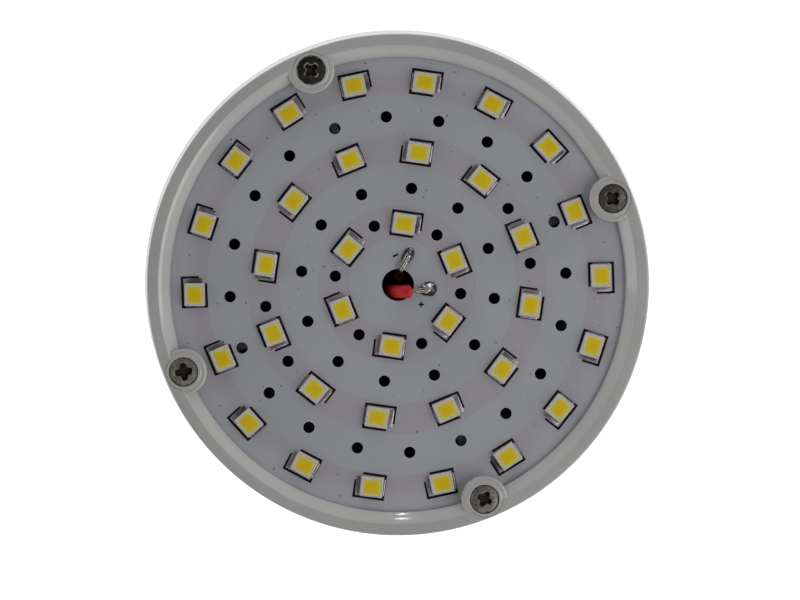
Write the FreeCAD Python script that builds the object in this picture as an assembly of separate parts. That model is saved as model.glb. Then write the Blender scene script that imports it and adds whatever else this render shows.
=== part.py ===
import FreeCAD, Part
import math
import os

from FreeCAD import Placement, Rotation, Vector

# Corn LED bulb: an Edison screw cap, a vented driver housing, a twelve-sided core
# with an LED strip on each side, and an LED plate held under a screwed ring at the top.
# The bulb stands on +Z, cap down. The origin is the tip of the cap's centre contact.
# Sizes are in millimetres and angles in degrees.

# Body: the radius of the round rim, which the core, the strips and the plate follow
BODY_RADIUS = 33.4
SIDES = 12

# Screw cap
CONTACT_RADIUS = 4.8
CONTACT_THICKNESS = 1.2
INSULATOR_FOOT_RADIUS = 6.2
INSULATOR_TOP_RADIUS = 11.2
INSULATOR_HEIGHT = 5.0
SHELL_MOUTH_RADIUS = 9.4
SHELL_WALL = 1.0
THREAD_RADIUS = 13.1
SHELL_LENGTH = 20.8

# Driver housing
HOUSING_WALL = 1.8
NECK_DEPTH = 13.0
NOSE_FLAT = 14.6
NOSE_LENGTH = 3.0
CONE_LENGTH = 32.0
COLLAR_WALL = 1.6
CORE_SEAT_DEPTH = 6.0
STRIP_SEAT_DEPTH = 4.0
SEAT_FLOOR = 2.4
SEAT_BOARD_GAP = 1.5
VENT_WIDTH = 2.4
VENT_LENGTH = 13.0
VENT_PLACE = 0.62
RIB_THICKNESS = 4.6
RIB_DEPTH = 1.8
RIB_LENGTH = 16.0
RIB_FLOOR = 2.0

# Core and LED strips
CORE_INSET = 4.1
CORE_WALL = 1.5
CORE_LENGTH = 100.0
FIN_DEPTH = 6.0
FIN_THICKNESS = 1.2
STRIP_GAP = 0.7
STRIP_THICKNESS = 1.2
STRIP_LED_COUNT = 12
STRIP_LED_PITCH = 7.0

# LED package
LED_LENGTH = 3.5
LED_WIDTH = 2.8
LED_HEIGHT = 0.75

# LED plate
PLATE_THICKNESS = 1.6
WIRE_HOLE_RADIUS = 2.15
VENT_HOLE_RADIUS = 0.75
VENT_HOLE_SIDES = 6
INNER_LED_COUNT = 6
MIDDLE_LED_COUNT = 12
OUTER_LED_COUNT = 18
INNER_HOLE_COUNT = 6
SECOND_HOLE_COUNT = 12
FOURTH_HOLE_COUNT = 20
PAIR_HOLE_ANGLE = 12.75

# Rings of the plate's LEDs and holes, as shares of its radius
INNER_LED_RING = 0.263
MIDDLE_LED_RING = 0.574
OUTER_LED_RING = 0.872
PULLED_IN_LED_RING = 0.817
INNER_HOLE_RING = 0.271
SECOND_HOLE_RING = 0.417
PAIR_HOLE_RING = 0.574
FOURTH_HOLE_RING = 0.721

# Top frame, ring and ring screws
FRAME_FLOOR = 4.4
FRAME_SKIRT = 4.0
FRAME_FLARE = 1.2
FRAME_LEDGE = 3.8
FRAME_LIP = 2.1
RIM_WIDTH = 1.5
BEVEL_WIDTH = 1.5
RING_RISE = 2.0
RING_EDGE = 0.5
EAR_COUNT = 4
EAR_INSET = 2.6
EAR_RADIUS = 3.1
SCREW_HOLE_SIDES = 6
SCREW_SHANK_RADIUS = 1.0
SCREW_HEAD_RADIUS = 1.9
SCREW_HEAD_HEIGHT = 1.15
SCREW_LENGTH = 6.0
SCREW_HEAD_SINK = 0.1
RECESS_WIDTH = 0.5
RECESS_LENGTH = 2.1
RECESS_DEPTH = 0.7
RING_SCREW_TURNS = (23.0, 23.0, 78.0, 41.0)

# Driver board and its parts
BOARD_WIDTH = 30.0
BOARD_LENGTH = 60.0
BOARD_THICKNESS = 1.6
BOARD_LIFT = 13.0
CAPACITOR_RADIUS = 6.3
CAPACITOR_LENGTH = 20.0
TRANSFORMER_SIZE = (14.0, 12.0, 13.0)
RECTIFIER_SIZE = (8.4, 3.2, 6.6)
CHIP_SIZE = (6.0, 1.6, 5.0)
FILM_CAPACITOR_SIZE = (12.0, 5.5, 9.0)
FUSE_RADIUS = 1.6
FUSE_LENGTH = 8.0

# Where those parts sit, as shares of the board's width across it and of its length up it
CAPACITOR_PLACE = (0.0, 0.62)
TRANSFORMER_PLACE = (0.0, 0.3)
RECTIFIER_PLACE = (0.2, 0.14)
CHIP_PLACE = (0.0, 0.5)
FILM_CAPACITOR_PLACE = (0.0, 0.7)
FUSE_PLACE = (-0.36, 0.22)
LEAD_PLACE = 0.1
LEAD_LAP = 3.0

# Leads and their solder joints on the plate
LEAD_RADIUS = 0.8
CORE_WIRE_RADIUS = 0.3
WIRE_SIDES = 6
LEAD_BEND_RADIUS = 4.0
WIRE_BEND_RADIUS = 0.7
JOINT_WIDTH = 1.9
JOINT_LENGTH = 2.7
JOINT_HEIGHT = 0.7

# Each lead's knee, the end of its insulation, its crest over the wire hole's edge and its tip,
# from the middle of the plate's top
POSITIVE_ROUTE = ((-4.0, 0.75, -5.2), (0.53, -1.08, 0.1), (1.6, -1.5, 0.9), (4.2, -1.75, 0.55))
NEGATIVE_ROUTE = ((0.4, 0.3, -9.0), (0.7, 1.05, -1.0), (0.95, 1.3, 0.9), (3.5, 3.2, 0.55))

# Each solder joint's distance and bearing from the axis, and the turn of its long side
POSITIVE_JOINT = (3.6, -27.0, -6.0)
NEGATIVE_JOINT = (3.86, 46.7, 34.0)

# Clearances
SLIDE_CLEARANCE = 0.1
EAR_CLEARANCE = 0.2
HEAD_CLEARANCE = 0.15
LEAD_CLEARANCE = 0.3

# Levels along the axis, worked out from the sizes above
Z_INSULATOR = CONTACT_THICKNESS
Z_SHELL = Z_INSULATOR + INSULATOR_HEIGHT
Z_CAP_TOP = Z_SHELL + SHELL_LENGTH
Z_NECK = Z_CAP_TOP - NECK_DEPTH
Z_CONE = Z_CAP_TOP + NOSE_LENGTH
Z_COLLAR = Z_CONE + CONE_LENGTH
Z_CORE = Z_COLLAR + SEAT_FLOOR
Z_STRIP = Z_CORE + CORE_SEAT_DEPTH
Z_RIM = Z_STRIP + STRIP_SEAT_DEPTH
Z_CORE_TOP = Z_CORE + CORE_LENGTH
Z_FRAME_SKIRT = Z_CORE_TOP - FRAME_SKIRT
Z_PLATE = Z_CORE_TOP + FRAME_FLOOR
Z_PLATE_TOP = Z_PLATE + PLATE_THICKNESS
Z_RING_TOP = Z_PLATE_TOP + RING_RISE
Z_HEAD_TOP = Z_RING_TOP - SCREW_HEAD_SINK
Z_HEAD_SEAT = Z_HEAD_TOP - SCREW_HEAD_HEIGHT
Z_SCREW_END = Z_HEAD_SEAT - SCREW_LENGTH
Z_BOARD = Z_CAP_TOP + BOARD_LIFT
STRIP_MIDDLE = (Z_RIM + Z_FRAME_SKIRT) / 2

# Distances from the axis, worked out from the body's radius: a flat's is to its middle
CORE_FLAT = BODY_RADIUS - CORE_INSET
STRIP_FRONT = CORE_FLAT + STRIP_THICKNESS
STRIP_WIDTH = 2 * CORE_FLAT * math.tan(math.pi / SIDES) - STRIP_GAP
COLLAR_FLAT = STRIP_FRONT + SLIDE_CLEARANCE + COLLAR_WALL
SEAT_OPENING_FLAT = BOARD_WIDTH / 2 + SEAT_BOARD_GAP
FRAME_OPENING_FLAT = CORE_FLAT - FRAME_LEDGE
PLATE_SEAT_RADIUS = BODY_RADIUS - FRAME_LIP
PLATE_RADIUS = PLATE_SEAT_RADIUS - SLIDE_CLEARANCE
RING_BEVEL_RADIUS = BODY_RADIUS - RIM_WIDTH
RING_OPENING_RADIUS = RING_BEVEL_RADIUS - BEVEL_WIDTH
EAR_PITCH_RADIUS = BODY_RADIUS - EAR_INSET

AXIS = Vector(0, 0, 1)
CENTRE = Vector(0, 0, 0)


def turned(outline):
    """Turn a closed outline of (radius, height) corners about the bulb's axis."""
    corners = [Vector(radius, 0, height) for radius, height in outline]
    wire = Part.makePolygon(corners + corners[:1])
    return Part.Face(wire).revolve(CENTRE, AXIS, 360)


def post(radius, z_low, z_high, x=0.0, y=0.0):
    """Upright cylinder between two levels."""
    return Part.makeCylinder(radius, z_high - z_low, Vector(x, y, z_low))


def polygon(sides, flat, level):
    """Closed outline with a flat that faces +X, each flat at the given distance from the axis."""
    corner = flat / math.cos(math.pi / sides)
    turns = [math.pi * (2 * side + 1) / sides for side in range(sides)]
    corners = [Vector(corner * math.cos(turn), corner * math.sin(turn), level) for turn in turns]
    return Part.makePolygon(corners + corners[:1])


def prism(sides, flat, z_low, z_high, x=0.0):
    """Upright prism between two levels."""
    shape = Part.Face(polygon(sides, flat, z_low)).extrude(Vector(0, 0, z_high - z_low))
    shape.translate(Vector(x, 0, 0))
    return shape


def flat_sided(low, high):
    """Solid between two closed outlines with matching corners, with a flat face along each side."""
    low_corners = [vertex.Point for vertex in low.OrderedVertexes]
    high_corners = [vertex.Point for vertex in high.OrderedVertexes]
    faces = [Part.Face(low), Part.Face(high)]
    for side in range(len(low_corners)):
        after = (side + 1) % len(low_corners)
        edge = [low_corners[side], low_corners[after], high_corners[after], high_corners[side]]
        faces.append(Part.Face(Part.makePolygon(edge + edge[:1])))
    return Part.Solid(Part.Shell(faces))


def taper(low_flat, z_low, high_flat, z_high):
    """Tapered body with the core's number of sides."""
    return flat_sided(polygon(SIDES, low_flat, z_low), polygon(SIDES, high_flat, z_high))


def block(x_low, x_high, width, z_low, z_high):
    """Upright box that reaches from one x to another, centred on the x axis."""
    corner = Vector(x_low, -width / 2, z_low)
    return Part.makeBox(x_high - x_low, width, z_high - z_low, corner)


def turned_copy(shape, angle):
    """Copy of a shape, turned about the bulb's axis."""
    copy = shape.copy()
    copy.rotate(CENTRE, AXIS, angle)
    return copy


def around(shape, count, start=0.0):
    """Copies of a shape at equal turns about the bulb's axis."""
    return [turned_copy(shape, start + 360.0 * step / count) for step in range(count)]


def bend(before, corner, after, radius):
    """Tangent points and middle of the arc that rounds one corner of a route."""
    inward = (before - corner).normalize()
    outward = (after - corner).normalize()
    half_angle = inward.getAngle(outward) / 2
    reach = radius / math.tan(half_angle)
    bisector = (inward + outward).normalize()
    middle = corner + bisector * (radius / math.sin(half_angle) - radius)
    return corner + inward * reach, middle, corner + outward * reach


def tube(points, radius, bend_radius):
    """Wire of six flats along straight runs joined by tangent arcs."""
    edges = []
    start = points[0]
    for before, corner, after in zip(points, points[1:], points[2:]):
        first, middle, last = bend(before, corner, after, bend_radius)
        edges.append(Part.LineSegment(start, first).toShape())
        edges.append(Part.Arc(first, middle, last).toShape())
        start = last
    edges.append(Part.LineSegment(start, points[-1]).toShape())
    section = polygon(WIRE_SIDES, radius * math.cos(math.pi / WIRE_SIDES), 0)
    section.Placement = Placement(points[0], Rotation(AXIS, points[1] - points[0]))
    return Part.Wire(edges).makePipeShell([section], True, False)


def centre_contact():
    """Round contact at the tip of the cap."""
    return post(CONTACT_RADIUS, 0, Z_INSULATOR)


def cap_insulator():
    """Cone that parts the contact from the shell, bored for the live lead."""
    foot = Vector(0, 0, Z_INSULATOR)
    cone = Part.makeCone(INSULATOR_FOOT_RADIUS, INSULATOR_TOP_RADIUS, INSULATOR_HEIGHT, foot)
    return cone.cut(prism(WIRE_SIDES, 2 * LEAD_RADIUS, Z_INSULATOR, Z_SHELL))


def screw_shell():
    """Shell of the screw cap at the crest of its thread, with its lower edge turned in."""
    barrel = post(THREAD_RADIUS, Z_SHELL, Z_CAP_TOP)
    bore = post(THREAD_RADIUS - SHELL_WALL, Z_SHELL + SHELL_WALL, Z_CAP_TOP)
    return barrel.cut([bore, post(SHELL_MOUTH_RADIUS, Z_SHELL, Z_CAP_TOP)])


def housing_vent():
    """Upright slot through one side of the housing's cone."""
    middle = Z_CONE + CONE_LENGTH * VENT_PLACE
    half = VENT_LENGTH / 2
    return block(NOSE_FLAT / 2, COLLAR_FLAT, VENT_WIDTH, middle - half, middle + half)


def board_rib():
    """Grooved rib inside the housing that holds one edge of the driver board."""
    edge = BOARD_WIDTH / 2
    z_low = Z_BOARD - RIB_FLOOR
    rib = block(edge - RIB_DEPTH, COLLAR_FLAT, RIB_THICKNESS, z_low, z_low + RIB_LENGTH)
    groove = block(0, edge + SLIDE_CLEARANCE, BOARD_THICKNESS + 2 * SLIDE_CLEARANCE, Z_BOARD, Z_RIM)
    return rib.cut(groove)


def driver_housing():
    """Moulded housing: neck in the cap, vented cone, and a collar that seats the core and the strips."""
    neck_corner = THREAD_RADIUS - SHELL_WALL - SLIDE_CLEARANCE
    neck_flat = neck_corner * math.cos(math.pi / SIDES)
    slope = (COLLAR_FLAT - NOSE_FLAT) / CONE_LENGTH
    wall = HOUSING_WALL * math.sqrt(1 + slope * slope)
    cone = taper(NOSE_FLAT, Z_CONE, COLLAR_FLAT, Z_COLLAR)
    body = cone.fuse([
        prism(SIDES, neck_flat, Z_NECK, Z_CAP_TOP),
        prism(SIDES, NOSE_FLAT, Z_CAP_TOP, Z_CONE),
        prism(SIDES, COLLAR_FLAT, Z_COLLAR, Z_RIM),
    ])
    ribs = [rib.common(cone) for rib in around(board_rib(), 2)]
    cavity = taper(NOSE_FLAT - wall, Z_CONE, COLLAR_FLAT - wall, Z_COLLAR)
    hollow = body.cut([cavity, prism(SIDES, neck_flat - HOUSING_WALL, Z_NECK, Z_CONE)])
    cuts = around(housing_vent(), SIDES)
    cuts.append(prism(SIDES, SEAT_OPENING_FLAT, Z_COLLAR, Z_CORE))
    cuts.append(prism(SIDES, CORE_FLAT + SLIDE_CLEARANCE, Z_CORE, Z_STRIP))
    cuts.append(prism(SIDES, STRIP_FRONT + SLIDE_CLEARANCE, Z_STRIP, Z_RIM))
    return hollow.fuse(ribs).cut(cuts).removeSplitter()


def core_tube():
    """Extruded twelve-sided tube with a cooling fin inside each flat."""
    inner_flat = CORE_FLAT - CORE_WALL
    wall = prism(SIDES, CORE_FLAT, Z_CORE, Z_CORE_TOP).cut(prism(SIDES, inner_flat, Z_CORE, Z_CORE_TOP))
    fin = block(inner_flat - FIN_DEPTH, CORE_FLAT - CORE_WALL / 2, FIN_THICKNESS, Z_CORE, Z_CORE_TOP)
    return wall.fuse(around(fin, SIDES)).removeSplitter()


def led_strip(side):
    """One aluminium strip board on a flat of the core."""
    strip = block(CORE_FLAT, STRIP_FRONT, STRIP_WIDTH, Z_STRIP, Z_CORE_TOP)
    return turned_copy(strip, 360.0 * side / SIDES)


def strip_leds(side):
    """LED packages of one strip, evenly spaced up its middle."""
    packages = []
    face = STRIP_FRONT + LED_HEIGHT
    lowest = STRIP_MIDDLE - (STRIP_LED_COUNT - 1) * STRIP_LED_PITCH / 2 - LED_WIDTH / 2
    for step in range(STRIP_LED_COUNT):
        z_low = lowest + step * STRIP_LED_PITCH
        package = block(STRIP_FRONT, face, LED_LENGTH, z_low, z_low + LED_WIDTH)
        packages.append(turned_copy(package, 360.0 * side / SIDES))
    return Part.makeCompound(packages)


def vent_hole(ring):
    """Cutter for one vent hole on the x axis, so small that flats stand in for its round."""
    return prism(VENT_HOLE_SIDES, VENT_HOLE_RADIUS, Z_PLATE, Z_PLATE_TOP, ring * PLATE_RADIUS)


def ear_post(z_low, z_high, growth=0.0):
    """Round post at the ears' pitch, which also cuts the plate's notch for it."""
    return post(EAR_RADIUS + growth, z_low, z_high, EAR_PITCH_RADIUS)


def led_plate():
    """Round LED plate with its wire hole, four rings of vent holes and a notch for each ear."""
    plate = post(PLATE_RADIUS, Z_PLATE, Z_PLATE_TOP)
    cuts = [post(WIRE_HOLE_RADIUS, Z_PLATE, Z_PLATE_TOP)]
    notch = ear_post(Z_PLATE, Z_PLATE_TOP, EAR_CLEARANCE)
    cuts += around(notch, EAR_COUNT)
    cuts += around(vent_hole(INNER_HOLE_RING), INNER_HOLE_COUNT, 180.0 / INNER_HOLE_COUNT)
    cuts += around(vent_hole(SECOND_HOLE_RING), SECOND_HOLE_COUNT)
    cuts += around(vent_hole(PAIR_HOLE_RING), 2, PAIR_HOLE_ANGLE)
    cuts += around(vent_hole(PAIR_HOLE_RING), 2, -PAIR_HOLE_ANGLE)
    cuts += around(vent_hole(FOURTH_HOLE_RING), FOURTH_HOLE_COUNT)
    return plate.cut(cuts)


def plate_led(ring):
    """One LED package on the plate's x axis, with its long side across it."""
    x_low = ring * PLATE_RADIUS - LED_WIDTH / 2
    return block(x_low, x_low + LED_WIDTH, LED_LENGTH, Z_PLATE_TOP, Z_PLATE_TOP + LED_HEIGHT)


def inner_ring_leds():
    """Ring of packages round the wire hole."""
    return Part.makeCompound(around(plate_led(INNER_LED_RING), INNER_LED_COUNT))


def middle_ring_leds():
    """Ring of packages half way out."""
    return Part.makeCompound(around(plate_led(MIDDLE_LED_RING), MIDDLE_LED_COUNT))


def outer_ring_leds():
    """Outer ring, where the two packages that face an ear sit further in."""
    packages = []
    for step in range(OUTER_LED_COUNT):
        angle = 360.0 * step / OUTER_LED_COUNT
        ring = PULLED_IN_LED_RING if angle % 180 == 0 else OUTER_LED_RING
        packages.append(turned_copy(plate_led(ring), angle))
    return Part.makeCompound(packages)


def screw_hole():
    """Hole for one ring screw through its ear and down into the frame."""
    return prism(SCREW_HOLE_SIDES, SCREW_SHANK_RADIUS, Z_SCREW_END, Z_HEAD_SEAT, EAR_PITCH_RADIUS)


def top_frame():
    """Frame on the core's end: it covers the strips' ends, seats the plate and takes the ring screws."""
    height = Z_PLATE_TOP - Z_FRAME_SKIRT
    foot = Vector(0, 0, Z_FRAME_SKIRT)
    outside = Part.makeCone(BODY_RADIUS + FRAME_FLARE, BODY_RADIUS, height, foot)
    cuts = [
        prism(SIDES, STRIP_FRONT + SLIDE_CLEARANCE, Z_FRAME_SKIRT, Z_CORE_TOP),
        prism(SIDES, FRAME_OPENING_FLAT, Z_CORE_TOP, Z_PLATE),
        post(PLATE_SEAT_RADIUS, Z_PLATE, Z_PLATE_TOP),
    ]
    posts = [ear.common(outside) for ear in around(ear_post(Z_PLATE, Z_PLATE_TOP), EAR_COUNT)]
    return outside.cut(cuts).fuse(posts).cut(around(screw_hole(), EAR_COUNT)).removeSplitter()


def top_ring():
    """Bevelled ring over the plate's edge, with an ear for each screw."""
    body = turned([
        (RING_OPENING_RADIUS, Z_PLATE_TOP),
        (RING_OPENING_RADIUS, Z_PLATE_TOP + RING_EDGE),
        (RING_BEVEL_RADIUS, Z_RING_TOP),
        (BODY_RADIUS, Z_RING_TOP),
        (BODY_RADIUS, Z_PLATE_TOP),
    ])
    outside = post(BODY_RADIUS, Z_PLATE_TOP, Z_RING_TOP)
    ears = [ear.common(outside) for ear in around(ear_post(Z_PLATE_TOP, Z_RING_TOP), EAR_COUNT)]
    head_recess = post(SCREW_HEAD_RADIUS + HEAD_CLEARANCE, Z_HEAD_SEAT, Z_RING_TOP, EAR_PITCH_RADIUS)
    cuts = around(head_recess, EAR_COUNT) + around(screw_hole(), EAR_COUNT)
    return body.fuse(ears).cut(cuts).removeSplitter()


def ring_screws():
    """Cross-head screws in the ears, each stopped at its own turn."""
    shank = post(SCREW_SHANK_RADIUS, Z_SCREW_END, Z_HEAD_SEAT)
    head = post(SCREW_HEAD_RADIUS, Z_HEAD_SEAT, Z_HEAD_TOP)
    half = RECESS_LENGTH / 2
    slot = block(-half, half, RECESS_WIDTH, Z_HEAD_TOP - RECESS_DEPTH, Z_HEAD_TOP)
    screw = shank.fuse(head).cut([slot, turned_copy(slot, 90)]).removeSplitter()
    screws = []
    for step, turn in enumerate(RING_SCREW_TURNS):
        place = 360.0 * step / EAR_COUNT
        placed = turned_copy(screw, turn - place)
        placed.translate(Vector(EAR_PITCH_RADIUS, 0, 0))
        screws.append(turned_copy(placed, place))
    return Part.makeCompound(screws)


def on_board(place):
    """Distance across the driver board from its middle, and level up it, for a place in shares."""
    across, up = place
    return BOARD_WIDTH * across, Z_BOARD + BOARD_LENGTH * up


def board_part(size, place, side):
    """Boxed component that stands on one face of the driver board: side is 1 or -1."""
    width, depth, height = size
    x, z_low = on_board(place)
    face = side * BOARD_THICKNESS / 2
    y_low = face if side > 0 else face - depth
    return Part.makeBox(width, depth, height, Vector(x - width / 2, y_low, z_low))


def driver_board():
    """Circuit board that stands in the housing's ribs and reaches up into the core."""
    half = BOARD_WIDTH / 2
    return block(-half, half, BOARD_THICKNESS, Z_BOARD, Z_BOARD + BOARD_LENGTH)


def input_capacitor():
    """Round can of the smoothing capacitor, lying along the board."""
    offset = BOARD_THICKNESS / 2 + CAPACITOR_RADIUS + SLIDE_CLEARANCE
    x, z_low = on_board(CAPACITOR_PLACE)
    return post(CAPACITOR_RADIUS, z_low, z_low + CAPACITOR_LENGTH, x, offset)


def transformer():
    """Wound choke of the driver."""
    return board_part(TRANSFORMER_SIZE, TRANSFORMER_PLACE, 1)


def bridge_rectifier():
    """Rectifier near the mains end of the board."""
    return board_part(RECTIFIER_SIZE, RECTIFIER_PLACE, -1)


def driver_chip():
    """Driver chip on the back of the board."""
    return board_part(CHIP_SIZE, CHIP_PLACE, -1)


def film_capacitor():
    """Film capacitor on the back of the board."""
    return board_part(FILM_CAPACITOR_SIZE, FILM_CAPACITOR_PLACE, -1)


def fuse_resistor():
    """Fusible resistor that lies along the board."""
    offset = BOARD_THICKNESS / 2 + FUSE_RADIUS + SLIDE_CLEARANCE
    x, z_high = on_board(FUSE_PLACE)
    return post(FUSE_RADIUS, z_high - FUSE_LENGTH, z_high, x, offset)


def lead_on_board(x, side, height):
    """Point where a lead's middle ends close over a face of the driver board."""
    return Vector(x, side * (BOARD_THICKNESS / 2 + LEAD_RADIUS + LEAD_CLEARANCE), Z_BOARD + height)


def contact_lead():
    """Live lead from the contact to the foot of the driver board."""
    end = lead_on_board(-BOARD_WIDTH * LEAD_PLACE, 1, LEAD_LAP)
    return tube([Vector(0, 0, Z_INSULATOR), Vector(0, 0, Z_NECK), end], LEAD_RADIUS, LEAD_BEND_RADIUS)


def shell_lead():
    """Neutral lead from the shell's turned-in edge to the driver board."""
    start = Vector(SHELL_MOUTH_RADIUS - LEAD_RADIUS, 0, Z_SHELL + SHELL_WALL + LEAD_RADIUS)
    wall = Vector(THREAD_RADIUS - SHELL_WALL - SLIDE_CLEARANCE, 0, start.z)
    end = lead_on_board(BOARD_WIDTH * LEAD_PLACE, 1, LEAD_LAP)
    return tube([wall, start, end], LEAD_RADIUS, 2 * LEAD_RADIUS)


def plate_lead(start, route):
    """Insulated lead up through the core, with a thinner bare end over the plate."""
    knee, end, crest, tip = [Vector(*point) + Vector(0, 0, Z_PLATE_TOP) for point in route]
    sleeve = tube([start, knee, end], LEAD_RADIUS, LEAD_BEND_RADIUS)
    wire = tube([end, crest, tip], CORE_WIRE_RADIUS, WIRE_BEND_RADIUS)
    return sleeve.fuse(wire)


def positive_lead():
    """Lead that leans across the wire hole, with its bare end laid over the hole's edge."""
    start = lead_on_board(-BOARD_WIDTH * LEAD_PLACE, -1, BOARD_LENGTH - LEAD_LAP)
    return plate_lead(start, POSITIVE_ROUTE)


def negative_lead():
    """Lead that stops inside the wire hole, with its bare end bent out over the plate."""
    start = lead_on_board(BOARD_WIDTH * LEAD_PLACE, -1, BOARD_LENGTH - LEAD_LAP)
    return plate_lead(start, NEGATIVE_ROUTE)


def solder_joint(radius, bearing, turn):
    """Long mound at a place on the plate, with its length at the given turn."""
    half_length = JOINT_LENGTH / 2
    half_width = JOINT_WIDTH / 2
    corners = [
        Vector(-half_length, 0, 0),
        Vector(-half_length / 2, -half_width, 0),
        Vector(half_length / 2, -half_width, 0),
        Vector(half_length, 0, 0),
        Vector(half_length / 2, half_width, 0),
        Vector(-half_length / 2, half_width, 0),
    ]
    crown = [corner / 2 + Vector(0, 0, JOINT_HEIGHT) for corner in corners]
    mound = flat_sided(Part.makePolygon(corners + corners[:1]), Part.makePolygon(crown + crown[:1]))
    mound.rotate(CENTRE, AXIS, turn)
    place = math.radians(bearing)
    mound.translate(Vector(radius * math.cos(place), radius * math.sin(place), Z_PLATE_TOP))
    return mound


def solder_joints():
    """Mounds of solder that hold the two bare ends to the plate."""
    positive = solder_joint(*POSITIVE_JOINT).cut(positive_lead())
    negative = solder_joint(*NEGATIVE_JOINT).cut(negative_lead())
    return Part.makeCompound([positive, negative])


NODES = {
    "centre_contact": centre_contact,
    "cap_insulator": cap_insulator,
    "screw_shell": screw_shell,
    "driver_housing": driver_housing,
    "core_tube": core_tube,
    "top_frame": top_frame,
    "led_plate": led_plate,
    "inner_ring_leds": inner_ring_leds,
    "middle_ring_leds": middle_ring_leds,
    "outer_ring_leds": outer_ring_leds,
    "top_ring": top_ring,
    "ring_screws": ring_screws,
    "driver_board": driver_board,
    "input_capacitor": input_capacitor,
    "transformer": transformer,
    "bridge_rectifier": bridge_rectifier,
    "driver_chip": driver_chip,
    "film_capacitor": film_capacitor,
    "fuse_resistor": fuse_resistor,
    "contact_lead": contact_lead,
    "shell_lead": shell_lead,
    "positive_lead": positive_lead,
    "negative_lead": negative_lead,
    "solder_joints": solder_joints,
}

os.makedirs("parts", exist_ok=True)
for name, make in NODES.items():
    make().exportStep("parts/" + name + ".step")
for side in range(SIDES):
    number = "_%02d" % (side + 1)
    led_strip(side).exportStep("parts/led_strip" + number + ".step")
    strip_leds(side).exportStep("parts/strip_leds" + number + ".step")
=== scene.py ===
# %% [markdown]
# # A corn LED bulb, seen on its lit end
#
# The CAD model already holds every piece of this bulb at its real size: a screw cap, a moulded
# housing, a twelve-sided aluminium core with a strip of LEDs on each side, and a round LED plate
# under a bevelled ring. This lesson keeps that model as its frame and gives each piece the surface
# that the real one has. Some pieces keep their CAD mesh and only get a finish. Those with small
# rounded or printed detail are built again here in mesh code and stand in for their CAD node.

# %% Load the frame
import math
import random

import bmesh
import bpy
from mathutils import Matrix, Vector


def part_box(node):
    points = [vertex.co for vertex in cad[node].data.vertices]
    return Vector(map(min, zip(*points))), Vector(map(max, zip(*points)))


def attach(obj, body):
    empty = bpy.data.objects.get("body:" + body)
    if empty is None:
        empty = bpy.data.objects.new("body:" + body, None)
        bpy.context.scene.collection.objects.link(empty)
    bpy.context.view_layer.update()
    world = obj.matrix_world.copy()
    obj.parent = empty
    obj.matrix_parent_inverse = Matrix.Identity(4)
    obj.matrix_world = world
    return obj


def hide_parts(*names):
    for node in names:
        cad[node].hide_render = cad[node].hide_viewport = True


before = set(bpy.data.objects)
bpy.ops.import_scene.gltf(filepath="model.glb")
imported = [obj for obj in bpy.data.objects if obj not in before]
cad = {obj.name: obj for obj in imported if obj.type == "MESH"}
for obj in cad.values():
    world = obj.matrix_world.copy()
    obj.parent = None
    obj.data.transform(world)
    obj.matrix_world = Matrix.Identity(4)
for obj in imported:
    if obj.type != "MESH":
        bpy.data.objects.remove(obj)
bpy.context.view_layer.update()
print("CAD nodes:", len(cad))

# %% [markdown]
# All the shapes below are written in millimetres, and only the last step of making a mesh scales
# them to Blender's metres. The levels and radii are read from the CAD nodes, so a piece always lands
# on what carries it.

# %% Levels and radii from the CAD
MM = 0.001


def lowest(node, axis=2):
    """Lowest coordinate of a CAD node along an axis, in millimetres."""
    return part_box(node)[0][axis] / MM


def highest(node, axis=2):
    """Highest coordinate of a CAD node along an axis, in millimetres."""
    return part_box(node)[1][axis] / MM


PLATE_LOW = lowest("led_plate")
PLATE_TOP = highest("led_plate")
RING_TOP = highest("top_ring")
BODY_RADIUS = highest("top_ring", 0)
print("plate top", round(PLATE_TOP, 2), "ring top", round(RING_TOP, 2), "radius", round(BODY_RADIUS, 2))

# %% [markdown]
# Nearly everything on the bulb lies somewhere round its axis, so a place is given by a radius and an
# angle in degrees. Short helpers make a point, a circle, a turn, a shift and a full place.

# %% Places round the axis
def polar(radius, angle, level=0.0):
    """Point at a radius and an angle from the axis, on a level."""
    turn = math.radians(angle)
    return Vector((radius * math.cos(turn), radius * math.sin(turn), level))


def circle(radius, count, centre=Vector()):
    """Points spread evenly round a centre."""
    return [centre + polar(radius, 360 * step / count) for step in range(count)]


def twist(angle):
    """Turn about the upright axis."""
    return Matrix.Rotation(math.radians(angle), 4, "Z")


def shift(x, y=0.0, z=0.0):
    """Move along the axes."""
    return Matrix.Translation((x, y, z))


def spot(radius, angle, level=0.0, turn=0.0):
    """Place at a radius and an angle from the axis, with its own x axis turned to the given angle."""
    return shift(*polar(radius, angle, level)) @ twist(turn)


# %% [markdown]
# Two ideas make nearly all the shapes. A *lathe* turns a profile about an upright axis and suits the
# ring, the screws and the cap. No moulded edge is quite sharp, so a corner of the profile may carry a
# third number, the radius of the arc that rounds it.

# %% Lathe
def fillet(corners, steps):
    """Points of a profile of (radius, height) corners, with an arc where a corner has a rounding too."""
    points = []
    for index, (radius, height, *rounding) in enumerate(corners):
        corner = Vector((radius, height))
        if not rounding:
            points.append(corner)
            continue
        before = (Vector(corners[index - 1][:2]) - corner).normalized()
        after = (Vector(corners[(index + 1) % len(corners)][:2]) - corner).normalized()
        half = before.angle(after) / 2
        middle = corner + (before + after).normalized() * (rounding[0] / math.sin(half))
        reach = rounding[0] / math.tan(half)
        first = corner + before * reach - middle
        sweep = first.angle_signed(corner + after * reach - middle)
        points += [middle + Matrix.Rotation(-sweep * step / steps, 2) @ first for step in range(steps + 1)]
    return points


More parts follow.
